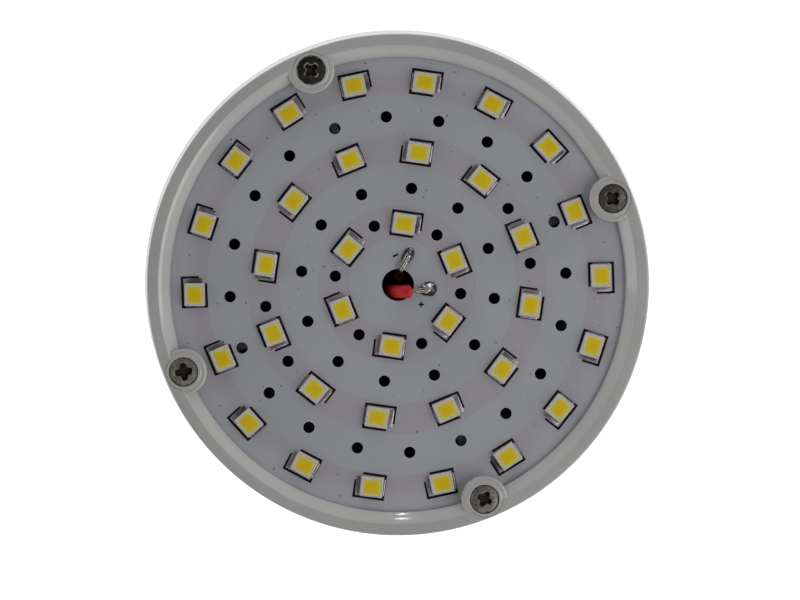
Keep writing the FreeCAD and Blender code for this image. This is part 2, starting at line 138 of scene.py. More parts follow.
def bridge(bm, low, high, slot=0):
    """Faces between two rings of points, where either may be a single point."""
    count = max(len(low), len(high))
    for step in range(count):
        after = (step + 1) % count
        if len(low) == 1:
            corners = [low[0], high[after], high[step]]
        elif len(high) == 1:
            corners = [low[step], low[after], high[0]]
        else:
            corners = [low[step], low[after], high[after], high[step]]
        bm.faces.new(corners).material_index = slot


def lathe(bm, corners, steps=96, level=0.0, centre=Vector(), closed=True, arc=5):
    """Turn a profile about an upright axis through a centre, with its heights above a level."""
    rings = []
    for radius, height in fillet(corners, arc):
        points = circle(radius, steps if radius > 1e-6 else 1, centre + Vector((0, 0, level + height)))
        rings.append([bm.verts.new(point) for point in points])
    above = rings[1:] + (rings[:1] if closed else [])
    for low, high in zip(rings, above):
        bridge(bm, low, high)


# %% [markdown]
# A *loft* joins closed outlines with the same number of points and suits an LED package or a solder
# joint. Both write straight into a bmesh, so one piece can hold several, each with its own slot.

# %% Loft
def loft(bm, outlines, slot=0, place=Matrix(), floor=True, roof=True):
    """Skin closed outlines of points in order, with a cap on the first and the last."""
    rings = [[bm.verts.new(place @ Vector(point)) for point in outline] for outline in outlines]
    for low, high in zip(rings, rings[1:]):
        bridge(bm, low, high, slot)
    if floor:
        bm.faces.new(rings[0][::-1]).material_index = slot
    if roof:
        bm.faces.new(rings[-1]).material_index = slot
    return rings


def soft_box(length, width, corner, level, steps=3):
    """Outline of a rectangle with rounded corners at one level, centred on the origin."""
    outline = []
    for turn, (right, up) in enumerate([(1, 1), (-1, 1), (-1, -1), (1, -1)]):
        middle = Vector((right * (length / 2 - corner), up * (width / 2 - corner), 0))
        outline += [middle + polar(corner, 90 * (turn + step / steps), level) for step in range(steps + 1)]
    return outline


# %% [markdown]
# A finished bmesh becomes a blank, and a boolean can carve it while it is still in millimetres. Then
# it is scaled to metres, dressed in its materials and tied to the bulb's one body. Edges sharper than
# the given angle stay crisp and the rest are shaded smooth, as moulded plastic is.

# %% From bmesh to a piece of the bulb
def linked(name, data):
    """Object of a mesh, curve, lamp or camera, put into the scene."""
    obj = bpy.data.objects.new(name, data)
    bpy.context.scene.collection.objects.link(obj)
    return obj


def blank(name, bm):
    """Bare object of a bmesh, as stock or as a tool for carving."""
    bmesh.ops.recalc_face_normals(bm, faces=bm.faces)
    mesh = bpy.data.meshes.new(name)
    bm.to_mesh(mesh)
    bm.free()
    return linked(name, mesh)


def carve(target, tool, operation):
    """Cut, join or intersect a blank with a tool, and keep the result as its mesh."""
    boolean = target.modifiers.new("carve", "BOOLEAN")
    boolean.operation = operation
    boolean.object = tool
    boolean.solver = "EXACT"
    bpy.context.view_layer.update()
    solid = target.evaluated_get(bpy.context.evaluated_depsgraph_get())
    result = bpy.data.meshes.new_from_object(solid)
    result.materials.clear()
    target.modifiers.clear()
    target.data = result
    bpy.data.objects.remove(tool)


def tie(obj, nodes=()):
    """Let an object ride on the bulb, and stand for CAD nodes if some are named."""
    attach(obj, "root")
    if nodes:
        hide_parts(*nodes)
    return obj


def dress(obj, materials, crisp=32, nodes=(), place=Matrix()):
    """Set a blank at its place in metres, give it its materials and tie it to the bulb."""
    mesh = obj.data
    mesh.transform(Matrix.Scale(MM, 4) @ place)
    for material in materials:
        mesh.materials.append(material)
    mesh.polygons.foreach_set("use_smooth", [True] * len(mesh.polygons))
    mesh.set_sharp_from_angle(angle=math.radians(crisp))
    return tie(obj, nodes)


def piece(name, bm, materials, crisp=32, nodes=()):
    """Make a dressed piece straight from a bmesh in millimetres."""
    return dress(blank(name, bm), materials, crisp, nodes)


# %% [markdown]
# ## Finishes
#
# A material is a small program of nodes. Written node by node it is long and hard to read, so this
# class wraps a node's output and lets Python's own signs add the Math nodes. `1 - mask * 0.3` then
# reads like the formula that it is.

# %% Shader maths with Python's signs
def sign(operation):
    """A sign's plain form, and its reflected one for a number on the left."""
    def plain_form(reading, other):
        return reading.maths(operation, reading, other)

    def reflected_form(reading, other):
        return reading.maths(operation, other, reading)
    return plain_form, reflected_form


class Reading:
    """A number that a node gives out, and that Python's signs can work on."""

    def __init__(self, finish, socket):
        self.finish = finish
        self.socket = socket

    def maths(self, operation, first, second):
        return self.finish.node("ShaderNodeMath", {"operation": operation}, {0: first, 1: second})

    __add__, __radd__ = sign("ADD")
    __sub__, __rsub__ = sign("SUBTRACT")
    __mul__, __rmul__ = sign("MULTIPLY")
    __truediv__, __rtruediv__ = sign("DIVIDE")
    __pow__, __rpow__ = sign("POWER")


# %% [markdown]
# A finish is one such program. One method adds any node, and the others are what every finish here
# is made of: cloudy noise, soft steps, blends of two colours, and a relief. A colour is written as
# the numbers that a screen shows.

# %% The finish class
class Finish:
    """One procedural material, built round a Principled shader."""

    def __init__(self, name, colour, roughness, metallic=0.0, shine=0.5):
        self.material = bpy.data.materials.new(name)
        self.material.use_nodes = True
        self.tree = self.material.node_tree
        self.shader = self.tree.nodes["Principled BSDF"]
        self.set("Base Color", opaque(colour))
        self.set("Roughness", roughness)
        self.set("Metallic", metallic)
        self.set("Specular IOR Level", shine)

    def set(self, socket, value):
        """Give a socket of the shader a value or a reading."""
        self.feed(self.shader.inputs[socket], value)

    def feed(self, socket, value):
        if isinstance(value, Reading):
            self.tree.links.new(value.socket, socket)
        else:
            socket.default_value = value

    def node(self, kind, settings=None, inputs=None, output=0):
        """Add a node with its settings and its inputs, and return one of its outputs."""
        made = self.tree.nodes.new(kind)
        for setting, value in (settings or {}).items():
            if setting == "stops":
                fill_ramp(made.color_ramp, value)
            else:
                setattr(made, setting, value)
        for socket, value in (inputs or {}).items():
            self.feed(made.inputs[socket], value)
        return Reading(self, made.outputs[output])

    def place(self, axis):
        """One coordinate of a point on the piece, in millimetres."""
        point = self.node("ShaderNodeTexCoord", output="Object")
        return self.node("ShaderNodeSeparateXYZ", inputs={0: point}, output=axis) / MM

    def reach(self):
        """Distance of a point on the piece from the bulb's axis, in millimetres."""
        x, y = self.place(0), self.place(1)
        return (x * x + y * y) ** 0.5

    def noise(self, size, detail=3.0, roughness=0.5, stretch=(1, 1, 1)):
        """Cloudy noise from 0 to 1, whose features are about so many millimetres wide."""
        point = self.node("ShaderNodeTexCoord", output="Object")
        point = self.node("ShaderNodeMapping", inputs={"Vector": point, "Scale": stretch})
        inputs = {"Vector": point, "Scale": 1 / (size * MM), "Detail": detail, "Roughness": roughness}
        return self.node("ShaderNodeTexNoise", inputs=inputs)

    def step(self, value, low, high):
        """Smooth rise from 0 to 1 as a value goes from low to high."""
        inputs = {"Value": value, "From Min": low, "From Max": high}
        return self.node("ShaderNodeMapRange", {"interpolation_type": "SMOOTHSTEP"}, inputs)

    def band(self, value, low, high, soft):
        """1 between two values and 0 outside, with a soft edge."""
        return self.step(value, low - soft, low + soft) * (1 - self.step(value, high - soft, high + soft))

    def mix(self, factor, first, second):
        """Blend of two colours."""
        ends = {0: factor, 6: opaque(first), 7: opaque(second)}
        return self.node("ShaderNodeMix", {"data_type": "RGBA", "clamp_factor": True}, ends, output=2)

    def ray(self, kind):
        """1 for a ray of one kind and 0 for the others."""
        return self.node("ShaderNodeLightPath", output="Is %s Ray" % kind)

    def sent_on(self):
        """1 for a ray that a metal or glass face sends on."""
        glossy = self.ray("Glossy")
        return glossy.maths("MAXIMUM", glossy, self.ray("Transmission"))

    def coat(self, colour, roughness, height, depth, strength=1.0):
        """Feed colour, roughness and a relief of so many millimetres, and return the material."""
        self.set("Base Color", opaque(colour))
        self.set("Roughness", roughness)
        inputs = {"Height": height, "Distance": depth * MM, "Strength": strength}
        self.set("Normal", self.node("ShaderNodeBump", inputs=inputs))
        return self.material


def fill_ramp(ramp, stops):
    """Set the stops of a colour ramp from (place, colour) pairs."""
    while len(ramp.elements) < len(stops):
        ramp.elements.new(1.0)
    for element, (position, colour) in zip(ramp.elements, stops):
        element.position = position
        element.color = opaque(colour)


def opaque(colour):
    """A colour with its fourth number, or a reading as it is."""
    return colour if isinstance(colour, Reading) else (*colour, 1)


def tint(red, green, blue):
    """Colour from the 0 to 255 numbers of a screen, as the linear numbers that a shader takes."""
    def linear(value):
        share = value / 255
        return share / 12.92 if share <= 0.04045 else ((share + 0.055) / 1.055) ** 2.4
    return Vector((linear(red), linear(green), linear(blue)))


# %% [markdown]
# The ring and the frame are the same glossy white polycarbonate. Its face is not quite even: moulded
# skin has a slow waviness of a few millimetres, and handling leaves faint duller patches. Both are
# small numbers here, because a strong bump makes plastic look like stone. The ring's bevel is a little
# shinier than the band outside it and is painted a shade lighter, as painted light. The frame's and the
# housing's copies are painted lighter than the ring's, also as painted light.
# The inside of the housing's cone is painted dark, as painted shade where little light gets in, and
# most of the plate's holes show nothing else. The painted shade is a formula of height and reach.

# %% White plastics
CONE_FOOT = 30.0
CONE_FOOT_WALL = 13.9
CONE_SLOPE = 0.55
PAINTED_SHADE_RISE = 18.0


def painted_shade_in_cone(finish):
    """1 on the inside of the housing's cone, as far up as the painted shade reaches."""
    height = finish.place(2)
    wall = CONE_FOOT_WALL + (height - CONE_FOOT) * CONE_SLOPE
    inside = finish.step(wall - finish.reach(), -0.2, 0.2)
    return inside * finish.band(height, CONE_FOOT - 2, CONE_FOOT + PAINTED_SHADE_RISE, 1.0)


def moulded(name, colour, roughness, patch, grain, wave, skin, dark_patch=None):
    """White moulded plastic with slow waviness, dull patches and a fine skin."""
    finish = Finish(name, colour, roughness, shine=0.6)
    clouds = finish.noise(patch)
    base = finish.mix(finish.step(clouds, 0.35, 0.7), 0.93 * colour, colour)
    # Painted shade: where a mask is given, the plastic there is painted nearly black.
    if dark_patch:
        base = finish.mix(dark_patch(finish), base, tint(34, 34, 36))
    relief = finish.noise(6.0, 1.0) * wave + finish.noise(grain, 2.0) * skin
    return finish.coat(base, roughness * (0.75 + clouds * 0.5), relief, 0.05, 0.6)


ring_white = moulded("ring_white", tint(143, 142, 141), 0.11, 9.0, 0.25, 0.25, 0.01)
# Painted light: the bevel's copy is painted a shade lighter than the ring's.
bevel_white_painted_light = moulded("bevel_white_painted_light", tint(148, 148, 147), 0.1, 9.0, 0.25, 0.25, 0.01)
# Painted light: the frame's and the housing's copies are painted lighter than the ring's.
frame_white_painted_light = moulded("frame_white_painted_light", tint(168, 168, 166), 0.3, 12.0, 0.3, 0.5, 0.08)
# The housing's copy also carries the painted shade inside its cone.
housing_white_painted_light_and_shade = moulded("housing_white_painted_light_and_shade", tint(180, 180, 178), 0.5, 14.0, 0.18, 0.6, 0.14, painted_shade_in_cone)
print("plastics:", ring_white.name, bevel_white_painted_light.name, frame_white_painted_light.name, housing_white_painted_light_and_shade.name)

# %% [markdown]
# The LED plate is an aluminium board under white solder mask. Under the mask the copper shows as
# bands a shade more purple and a few hundredths of a millimetre higher than the bare board between
# them. Each band is a formula of the distance to the axis, so no picture of the board is needed.
# Real mask also has a slight orange peel and a few specks of soot, and a faint line of painted shade
# darkens the corner at the foot of the ring.

# %% Solder mask of the plate and of the strips
BOARD_TONE = tint(132, 134, 138)
COPPER_TONE = tint(131, 128, 134)
COPPER_BANDS = ((6.3, 10.6), (15.8, 20.0), (25.4, 29.3))
RING_WIDTH = 3.0


def masked_copper():
    """White solder mask over rings of copper, for the round plate."""
    finish = Finish("plate_mask", BOARD_TONE, 0.42, shine=0.4)
    reach = finish.reach()
    wander = (finish.noise(5.0, 2.0) - 0.5) * 0.5
    copper = 0.0
    for inner, outer in COPPER_BANDS:
        copper = finish.band(reach + wander, inner, outer, 0.12) + copper
    corner = BODY_RADIUS - RING_WIDTH
    cloud = finish.step(finish.noise(14.0, 2.0), 0.42, 0.62)
    # Painted light: the mask is painted lighter towards the ring, against the shade of its wall.
    painted_light_near_ring = finish.step(reach, 26.0, 30.0)
    dust = finish.step(finish.noise(0.9, 2.0, 0.7), 0.74, 0.8)
    # Painted shade: a faint dark line in the corner at the foot of the ring.
    painted_shade_line = finish.step(reach, corner - 0.2, corner - 0.1)
    specks = finish.step(finish.noise(0.7, 1.0), 0.768, 0.785)
    base = finish.mix(copper, BOARD_TONE, COPPER_TONE)
    base = finish.mix(cloud * 0.35, base, tint(122, 123, 128))
    base = finish.mix(painted_light_near_ring * 0.8, base, tint(146, 146, 151))
    base = finish.mix(dust * 0.16, base, tint(96, 97, 98))
    base = finish.mix(painted_shade_line * 0.08, base, tint(80, 82, 86))
    base = finish.mix(specks * 0.7, base, tint(52, 50, 52))
    relief = copper * 0.5 + finish.noise(0.6, 2.0) * 0.14
    return finish.coat(base, 0.4 + finish.noise(3.0) * 0.12, relief, 0.05, 0.55)


def strip_mask():
    """White solder mask of a strip, faintly cloudy."""
    finish = Finish("strip_mask", BOARD_TONE, 0.42, shine=0.4)
    cloud = finish.noise(9.0, 2.0)
    base = finish.mix(finish.step(cloud, 0.4, 0.65), tint(160, 163, 167), tint(165, 167, 170))
    return finish.coat(base, 0.4 + cloud * 0.12, finish.noise(0.6, 2.0), 0.02, 0.4)


plate_mask = masked_copper()
strip_white = strip_mask()
print("copper bands:", len(COPPER_BANDS))

# %% [markdown]
# Metals get their look from roughness more than from colour. Extruded aluminium has long fine lines
# along its length, a rolled cap has soft worn patches, and solder is nearly a mirror with a wrinkled
# skin. One function covers them: a stretched noise gives the lines.

# %% Metals
def metal(name, colour, roughness, size, spread=0.3, depth=0.01, worn=None, stretch=(1, 1, 1)):
    """Metal with fine lines or grain, and darker worn patches if a colour is given for them."""
    finish = Finish(name, colour, roughness, 1.0)
    lines = finish.noise(size, 4.0, 0.6, stretch)
    base = colour
    if worn is not None:
        base = finish.mix(finish.step(finish.noise(4.0, 4.0, 0.6), 0.45, 0.7), colour, worn)
    return finish.coat(base, roughness + (lines - 0.5) * spread, lines, depth, 0.5)


core_aluminium = metal("core_aluminium", tint(196, 198, 200), 0.38, 0.4, stretch=(1, 1, 0.03))
board_edge = metal("board_edge", tint(190, 192, 195), 0.4, 0.3, 0.2)
shell_nickel = metal("shell_nickel", tint(186, 183, 176), 0.24, 1.5, worn=tint(160, 155, 144))
contact_tin = metal("contact_tin", tint(190, 186, 176), 0.35, 0.8, 0.3, 0.03, tint(150, 142, 122))
tinned_wire = metal("tinned_wire", tint(165, 161, 154), 0.25, 0.25, 0.25, 0.02, tint(84, 79, 72))
pad_solder = metal("pad_solder", tint(162, 157, 160), 0.42, 0.35, 0.3, 0.05, tint(88, 84, 88))


def solder_with_flux_and_painted_reflection():
    """Bright solder with nearly black patches: partly flux burnt into its creases, partly painted dark
    reflection.
    """
    finish = Finish("solder", tint(168, 165, 160), 0.2, 1.0)
    crease = finish.noise(0.6, 3.0, 0.6)
    # The dark patches are partly real flux and partly painted dark reflection.
    flux_and_painted_reflection = finish.step(crease, 0.42, 0.49)
    finish.set("Metallic", 1 - flux_and_painted_reflection * 0.8)
    base = finish.mix(flux_and_painted_reflection, tint(206, 204, 200), tint(24, 20, 19))
    return finish.coat(base, 0.14 + flux_and_painted_reflection * 0.4, 1 - crease, 0.3)


solder = solder_with_flux_and_painted_reflection()
print("metals and plastics:", len(bpy.data.materials))

# %% [markdown]
# Inks, cable insulation and the plastics of the driver parts are simpler, but none is left flat: a
# little cloudiness in the colour and a grain in the relief keep them from looking like paint chips.

# %% Inks, insulation and driver parts
def plain(name, colour, roughness, size, change=0.85, depth=0.02, shine=0.5):
    """Even plastic, ink or coating with a faint mottle and grain."""
    finish = Finish(name, colour, roughness, shine=shine)
    mottle = finish.noise(size)
    base = finish.mix(finish.step(mottle, 0.35, 0.7), colour, change * colour)
    return finish.coat(base, roughness + (mottle - 0.5) * 0.15, mottle, depth, 0.4)


print_ink = plain("print_ink", tint(10, 8, 16), 0.75, 0.5, 1.5, 0.005, 0.08)
flux = plain("flux", tint(36, 31, 30), 0.35, 0.4, 2.4)
red_sleeve = plain("red_sleeve", tint(160, 20, 28), 0.42, 1.5, 0.8, shine=0.25)
# Painted shade: the negative lead's sleeve is the same red, painted darker for the shade it lies in.
red_sleeve_painted_shade = plain("red_sleeve_painted_shade", tint(96, 8, 16), 0.45, 1.5, 0.8, shine=0.2)
cap_black = plain("cap_black", tint(30, 30, 32), 0.22, 2.0, 1.3)
laminate = plain("laminate", tint(46, 106, 62), 0.42, 3.0)
can_sleeve = plain("can_sleeve", tint(38, 42, 66), 0.3, 3.0)
coil_tape = plain("coil_tape", tint(205, 175, 60), 0.4, 3.0)
chip_black = plain("chip_black", tint(34, 34, 36), 0.55, 1.0, 1.3)
film_red = plain("film_red", tint(150, 44, 32), 0.28, 2.0)
resistor_green = plain("resistor_green", tint(84, 118, 108), 0.5, 1.0)
print("finishes so far:", len(bpy.data.materials))

# %% [markdown]
# An LED package is a white plastic cup filled with clear silicone that carries yellow phosphor. The
# fill looks paler where it thins out at the cup's wall and deeper, nearly orange, over the chip in
# the middle. The mesh below paints a number on its points, 0 at the wall and 1 over the chip, and
# the material reads it. Each outline is a length, a width, a corner and a level.

# %% LED package
FILL_TONES = (
    (0.0, tint(172, 164, 138)),
    (0.35, tint(170, 160, 92)),
    (0.7, tint(171, 156, 40)),
    (1.0, tint(178, 149, 6)),
)
CUP_OUTLINES = (
    (3.06, 2.72, 0.14, 0.04), (3.04, 2.7, 0.14, 0.6), (2.98, 2.64, 0.14, 0.7),
    (2.9, 2.56, 0.14, 0.73), (2.66, 2.32, 0.5, 0.73), (2.58, 2.24, 0.44, 0.68),
)
FILL_OUTLINES = (
    (2.58, 2.24, 0.44, 0.68), (2.16, 1.84, 0.34, 0.69), (1.98, 1.66, 0.3, 0.69),
    (0.8, 0.5, 0.2, 0.69),
)
FILL_DEPTHS = (0.0, 0.3, 0.7, 1.0)
TAB_OUTLINES = ((0.36, 2.0, 0.05, 0.03), (0.36, 2.0, 0.05, 0.16), (0.36, 2.0, 0.05, 0.2))
TAB_REACH = 1.5


def phosphor_fill():
    """Silicone with phosphor in it, deeper in colour over the chip."""
    finish = Finish("phosphor", tint(172, 150, 14), 0.4, shine=0.12)
    painted = finish.node("ShaderNodeAttribute", {"attribute_name": "depth"}, output="Fac")
    depth = painted + (finish.noise(0.5, 2.0) - 0.5) * 0.3
    base = finish.node("ShaderNodeValToRGB", {"stops": FILL_TONES}, {"Fac": depth})
    return finish.coat(base, 0.36 + finish.noise(0.3, 2.0) * 0.2, finish.noise(0.18, 2.0), 0.01, 0.5)


package_white = plain("package_white", tint(165, 160, 155), 0.5, 0.4, 0.8, 0.01, 0.3)
LED_FINISHES = [package_white, phosphor_fill(), pad_solder]


def soft_boxes(shapes):
    """Outlines of a stack of rounded rectangles."""
    return [soft_box(*shape) for shape in shapes]


def led_package(bm, place):
    """Cup, fill and terminals of one package, with its long side along its place's x."""
    loft(bm, soft_boxes(CUP_OUTLINES), 0, place, roof=False)
    depth = bm.verts.layers.float.get("depth") or bm.verts.layers.float.new("depth")
    rings = loft(bm, soft_boxes(FILL_OUTLINES), 1, place, floor=False)
    for ring, painted in zip(rings, FILL_DEPTHS):
        for vertex in ring:
            vertex[depth] = painted
    for side in (1, -1):
        loft(bm, soft_boxes(TAB_OUTLINES), 2, place @ shift(side * TAB_REACH))


# %% [markdown]
# ## The round plate
#
# Its outline and its forty-three holes are all circles, so a flat curve is the quickest way to it: a
# 2D curve fills what lies between its outer circle and its inner ones, and its extrusion gives the
# thickness. Four notches leave room for the ring's ears, so there the outer line is drawn as arcs.

# %% Places of the LEDs and the holes
EAR_PITCH = 30.8
EAR_RADIUS = 3.1
EAR_ANGLES = (0, 90, 180, 270)
PLATE_RADIUS = highest("led_plate", 1)
WIRE_HOLE = 2.15
VENT_HOLE = 0.77
LED_BY_EAR = 25.49


def evenly(radius, count, start=0.0):
    """Places of so many parts spread evenly on a circle, as (radius, angle)."""
    return [(radius, start + 360 * step / count) for step in range(count)]


INNER_LEDS = evenly(8.206, 6)
MIDDLE_LEDS = evenly(17.909, 12)
OUTER_LEDS = [(radius if angle % 180 else LED_BY_EAR, angle) for radius, angle in evenly(27.206, 18)]
HOLES = evenly(8.455, 6, 30.0) + evenly(13.01, 12) + evenly(22.495, 20)
HOLES += [(17.909, angle) for angle in (12.75, -12.75, 192.75, 167.25)]
print("plate LEDs:", len(INNER_LEDS + MIDDLE_LEDS + OUTER_LEDS), "vent holes:", len(HOLES))


# %% Plate
def notched_rim(notch):
    """Points of the plate's outer line, which steps in round each ear by a notch of that radius."""
    cosine = (PLATE_RADIUS ** 2 + EAR_PITCH ** 2 - notch ** 2) / (2 * PLATE_RADIUS * EAR_PITCH)
    half = math.degrees(math.acos(cosine))
    edge = polar(PLATE_RADIUS, half)
    opening = math.degrees(math.atan2(edge.y, edge.x - EAR_PITCH))
    points = []
    for angle in EAR_ANGLES:
        ear = spot(EAR_PITCH, angle, turn=angle)
        points += [ear @ polar(notch, -opening - (360 - 2 * opening) * step / 32) for step in range(33)]
        points += [polar(PLATE_RADIUS, angle + half + (90 - 2 * half) * step / 48) for step in range(1, 48)]
    return points


def flat_board(name, outlines, thickness):
    """Board filled between closed outlines, with its middle at level 0."""
    curve = bpy.data.curves.new(name, "CURVE")
    curve.dimensions = "2D"
    curve.fill_mode = "BOTH"
    curve.extrude = thickness / 2
    for outline in outlines:
        spline = curve.splines.new("POLY")
        spline.points.add(len(outline) - 1)
        for point, place in zip(spline.points, outline):
            point.co = (place.x, place.y, 0, 1)
        spline.use_cyclic_u = True
    holder = bpy.data.objects.new(name, curve)
    mesh = bpy.data.meshes.new_from_object(holder)
    mesh.materials.clear()
    bpy.data.objects.remove(holder)
    bm = bmesh.new()
    bm.from_mesh(mesh)
    bmesh.ops.remove_doubles(bm, verts=bm.verts, dist=0.001)
    bm.to_mesh(mesh)
    bm.free()
    return linked(name, mesh)


outlines = [notched_rim(EAR_RADIUS - 0.05), circle(WIRE_HOLE, 64)]
outlines += [circle(VENT_HOLE, 32, polar(*place)) for place in HOLES]
board = flat_board("plate_board", outlines, PLATE_TOP - PLATE_LOW)
board_place = spot(0, 0, (PLATE_LOW + PLATE_TOP) / 2)
dress(board, [plate_mask, board_edge], 30, ["led_plate"], board_place)
for face in board.data.polygons:
    face.material_index = 0 if face.normal.z > 0.5 else 1
print("plate faces:", len(board.data.polygons))

# %% [markdown]
# The print is black: a box round each package with one open corner that marks its minus end, and a
# minus and a plus beside the two wire joints. The ink is a real skin one fiftieth of a millimetre
# thick. The machine that sets the packages never lands them dead centre, so each one gets a small
# turn and slip from a seeded list.

# %% Printed boxes and packages of the plate
BOX_LENGTH = 3.95
BOX_WIDTH = 3.18
BOX_GAP_ALONG = 0.85
BOX_GAP_ACROSS = 0.95
INK_WIDTH = 0.31
INK_HEIGHT = 0.02
SLIP = 0.27
PAD_OUTLINES = ((0.62, 2.3, 0.12, 0.0), (0.62, 2.3, 0.12, 0.05), (0.48, 2.1, 0.08, 0.09))
MINUS_PAD = 1.55
PLUS_PAD = -1.72
rng = random.Random(7)


def ink_line(bm, place, points, width=INK_WIDTH):
    """Printed line through points, with mitred corners and square ends."""
    lefts, rights = [], []
    path = [Vector(point) for point in points]
    for index, point in enumerate(path):
        ahead = (path[index + 1] - point).normalized() if index + 1 < len(path) else None
        back = (point - path[index - 1]).normalized() if index else None
        along = (ahead + back).normalized() if ahead and back else ahead or back
        stretch = 1 / max(0.5, along.dot(ahead or back))
        aside = Vector((-along.y, along.x)) * width / 2 * stretch
        lefts.append(point + aside)
        rights.append(point - aside)
    outline = lefts + rights[::-1]
    loft(bm, [[(x, y, level) for x, y in outline] for level in (0.0, INK_HEIGHT)], 0, place)


def printed_box(bm, place, minus_end):
    """Box round a package, open at the corner that minus_end names as signs along and across."""
    along = BOX_LENGTH / 2 * minus_end[0]
    across = BOX_WIDTH / 2 * minus_end[1]
    ink_line(bm, place, [
        (along, across - BOX_GAP_ACROSS * minus_end[1]),
        (along, -across),
        (-along, -across),
        (-along, across),
        (along - BOX_GAP_ALONG * minus_end[0], across),
    ])


def as_set(place, aside, slip, turn):
    """Place where the machine really sets a package, with its random slip and turn."""
    missed = shift(aside + rng.uniform(-slip, slip), rng.uniform(-slip, slip))
    return place @ missed @ twist(rng.uniform(-turn, turn))


def lay_ring(name, places, minus_end, nodes):
    """Packages, pads and printed boxes of one ring of the plate."""
    packages, ink = bmesh.new(), bmesh.new()
    for radius, angle in places:
        centre = spot(radius, angle, PLATE_TOP, angle - 90)
        printed_box(ink, centre, minus_end)
        led_package(packages, as_set(centre, -SLIP * minus_end[0], 0.06, 2.2))
        for reach in (MINUS_PAD, PLUS_PAD):
            loft(packages, soft_boxes(PAD_OUTLINES), 2, centre @ shift(reach * minus_end[0]))
    piece(name, packages, LED_FINISHES, 40, nodes)
    piece(name + "_print", ink, [print_ink], 30)


lay_ring("inner_packages", INNER_LEDS, (1, -1), ["inner_ring_leds"])
lay_ring("middle_packages", MIDDLE_LEDS, (-1, 1), ["middle_ring_leds"])
lay_ring("outer_packages", OUTER_LEDS, (1, -1), ["outer_ring_leds"])

signs = bmesh.new()
ink_line(signs, spot(3.96, 72.8, PLATE_TOP, 2), [(-0.38, 0), (0.38, 0)], 0.26)
for start, end in (((-0.36, 0), (0.36, 0)), ((0, 0.1), (0, 0.36)), ((0, -0.1), (0, -0.36))):
    ink_line(signs, spot(4.05, -62, PLATE_TOP, -22), [start, end], 0.2)
piece("joint_signs", signs, [print_ink], 30)
print("packages on the plate:", len(INNER_LEDS + MIDDLE_LEDS + OUTER_LEDS))

# %% [markdown]
# ## The ring
#
# In section the ring is a low wall with a bevel on its inside and a small rounding on each edge, so
# a lathe makes it. The ears are bosses for the screws, round too, each with a thin raised lip about
# the screw's head. They are turned on their own axes, trimmed by the ring's outer wall, and joined
# to the ring with a boolean, which leaves the crisp inner corner that the mould has there.
# Heights are given from the plate's top.

# %% Ring with its four ears
RISE = RING_TOP - PLATE_TOP
OPENING = BODY_RADIUS - RING_WIDTH
RIM_INSIDE = BODY_RADIUS - 1.5
FOOT = 0.6
BULGE = 0.068
LIP_OUTSIDE = 2.26
LIP_INSIDE = 1.96
SHOULDER = RISE - 0.09
SCREW_HOLE = 1.05
HOLE_FLOOR = RISE - 1.25
EAR_LOW = 0.002
DRILL = 2.45

bevel = []
for share in (step / 8 for step in range(1, 7)):
    height = FOOT + (RISE - FOOT) * share + 4 * BULGE * share * (1 - share)
    bevel.append((OPENING + (RIM_INSIDE - OPENING) * share, height))
ring_stock, drills, ears, trim = (bmesh.new() for part in range(4))
lathe(ring_stock, [
    (OPENING, 0), (OPENING, FOOT, 0.22), *bevel, (RIM_INSIDE, RISE, 0.42),
    (BODY_RADIUS, RISE, 0.25), (BODY_RADIUS, 0),
], 288, PLATE_TOP)
for angle in EAR_ANGLES:
    centre = polar(EAR_PITCH, angle)
    lathe(drills, [(0, -1), (DRILL, -1), (DRILL, 3), (0, 3)], 64, PLATE_TOP, centre, closed=False)
    lathe(ears, [
        (SCREW_HOLE, EAR_LOW), (EAR_RADIUS, EAR_LOW), (EAR_RADIUS, SHOULDER, 0.32),
        (LIP_OUTSIDE + 0.12, SHOULDER, 0.04), (LIP_OUTSIDE, RISE, 0.05), (LIP_INSIDE, RISE, 0.05),
        (LIP_INSIDE, HOLE_FLOOR), (SCREW_HOLE, HOLE_FLOOR),
    ], 72, PLATE_TOP, centre, arc=4)
lathe(trim, [
    (0, -0.5), (BODY_RADIUS - 0.02, -0.5), (BODY_RADIUS - 0.02, RISE + 0.01, 0.27),
    (0, RISE + 0.01),
], 288, PLATE_TOP, closed=False)

ring = blank("ring", ring_stock)
bosses = blank("ears", ears)
carve(ring, blank("drills", drills), "DIFFERENCE")
carve(bosses, blank("trim", trim), "INTERSECT")
carve(ring, bosses, "UNION")
dress(ring, [ring_white, bevel_white_painted_light], 38, ["top_ring"])
# The bevel's faces take the copy that is painted lighter as painted light.
for face in ring.data.polygons:
    inside = (OPENING - 0.05) * MM < face.center.xy.length < RIM_INSIDE * MM
    face.material_index = 1 if inside and 0.3 < face.normal.z < 0.95 else 0
print("ring faces:", len(ring.data.polygons))

# %% [markdown]
# ## Screws
#
# Each screw has a low domed head with a cross recess whose arms narrow downwards. They come from one
# box of screws but were driven and rubbed differently, so every head gets its own shade and its own
# turn. The cross is cut with a tapered tool, which gives the slanting walls that catch the light.
# The steep walls round the recess are painted bright as a painted glint, and the steel below the
# head's rounded top is painted dark as painted shade. Heights are given from the top of the heads.

# %% Ring screws
HEAD_TOP = highest("ring_screws")
SCREW_END = lowest("ring_screws") - HEAD_TOP
HEAD_RADIUS = 1.9
HEAD_EDGE = -0.14
HEAD_BACK = -1.15
SHANK_RADIUS = 0.98
SCREW_TURNS = (23.0, 23.0, 78.0, 41.0)
SCREW_SHADES = ((92, 87, 83), (52, 48, 45), (130, 127, 119), (132, 127, 123))
RECESS = ((0.7, 0.42, -1.05), (0.92, 0.72, -0.14), (1.12, 0.92, 0.08))
RECESS_SIZES = (1.1, 1.06, 1.25, 1.09)
# How strongly each head shows its painted glint.
PAINTED_GLINTS = (0.35, 1.0, 0.05, 0.1)


